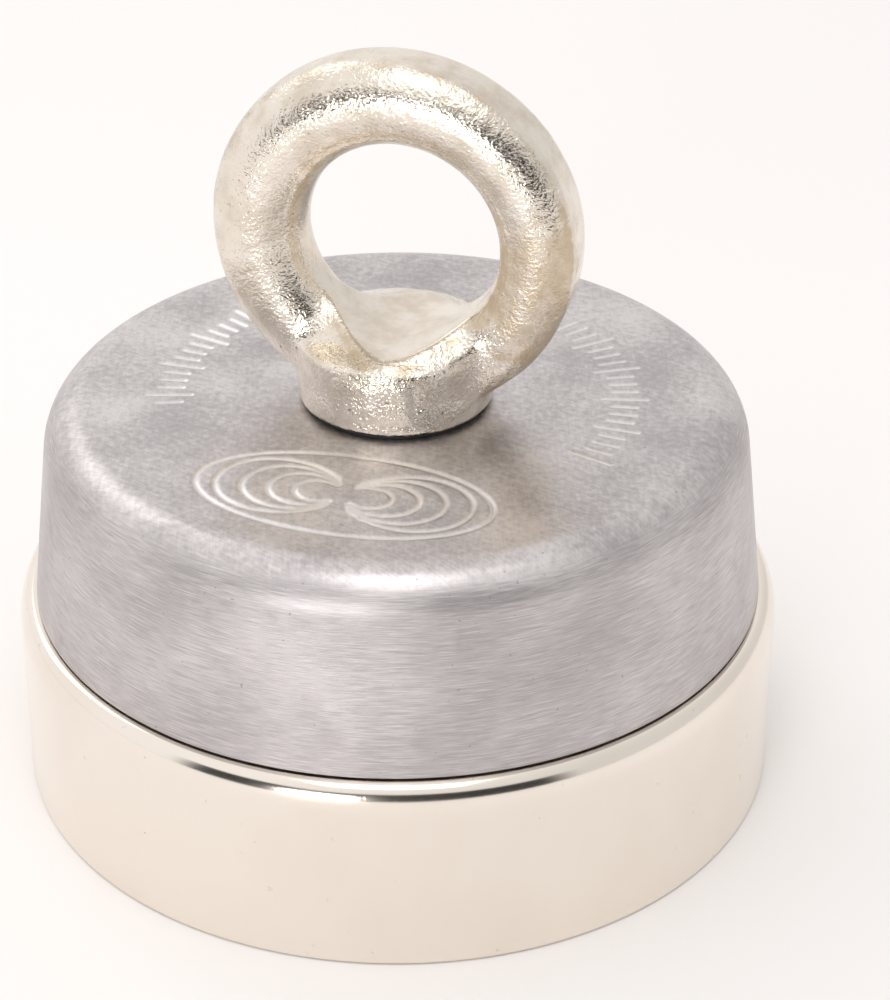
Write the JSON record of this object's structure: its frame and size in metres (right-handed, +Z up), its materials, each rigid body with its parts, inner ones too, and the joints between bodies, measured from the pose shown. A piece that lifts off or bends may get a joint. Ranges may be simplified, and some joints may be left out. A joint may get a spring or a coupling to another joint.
{
  "type": "magnet fishing magnet",
  "caption": "Round pot magnet with a tapered aluminium cap and a lifting eye bolt that screws down through the cap into the steel pot.",
  "frame": {"origin": "middle of the pot's pulling face, which is the lowest plane of the object", "axes": "+Z up along the bolt, +Y along the hole of the eye at rest, +X across the eye"},
  "size_m": [0.078, 0.078, 0.0777],
  "materials": {
    "pot_nickel": "bright nickel plate, slightly warm",
    "magnet_nickel": "satin nickel plate",
    "bond_glue": "cured structural adhesive",
    "potting_resin": "cast epoxy resin, flush",
    "sleeve_brass": "turned brass",
    "seal_rubber": "black sealing rubber",
    "cap_aluminium": "turned and brushed, scuffed",
    "eye_nickel": "nickel over a rough forging, stained"
  },
  "bodies": {
    "magnet_body": {"steel_pot": "pot_nickel", "magnet": "magnet_nickel", "magnet_bond": "bond_glue", "potting_ring": "potting_resin", "centre_sleeve": "sleeve_brass", "centre_plug": "potting_resin", "rim_gasket": "seal_rubber", "cap": "cap_aluminium"},
    "collar_seal": {"collar_seal": "seal_rubber"},
    "eye_bolt": {"eye_bolt": "eye_nickel"}
  },
  "joints": [
    {"name": "eye_lift", "type": "slide", "parent": "magnet_body", "child": "collar_seal", "axis": [0, 0, 1], "range_m": [0, 0.012]},
    {"name": "eye_turn", "type": "hinge", "parent": "collar_seal", "child": "eye_bolt", "pos_m": [0, 0, 0.0421], "axis": [0, 0, 1], "range_deg": [0, 3420]}
  ],
  "couplings": [
    {"joint": "eye_lift", "follows": "eye_turn", "m_per_rad": 0.00019894}
  ]
}
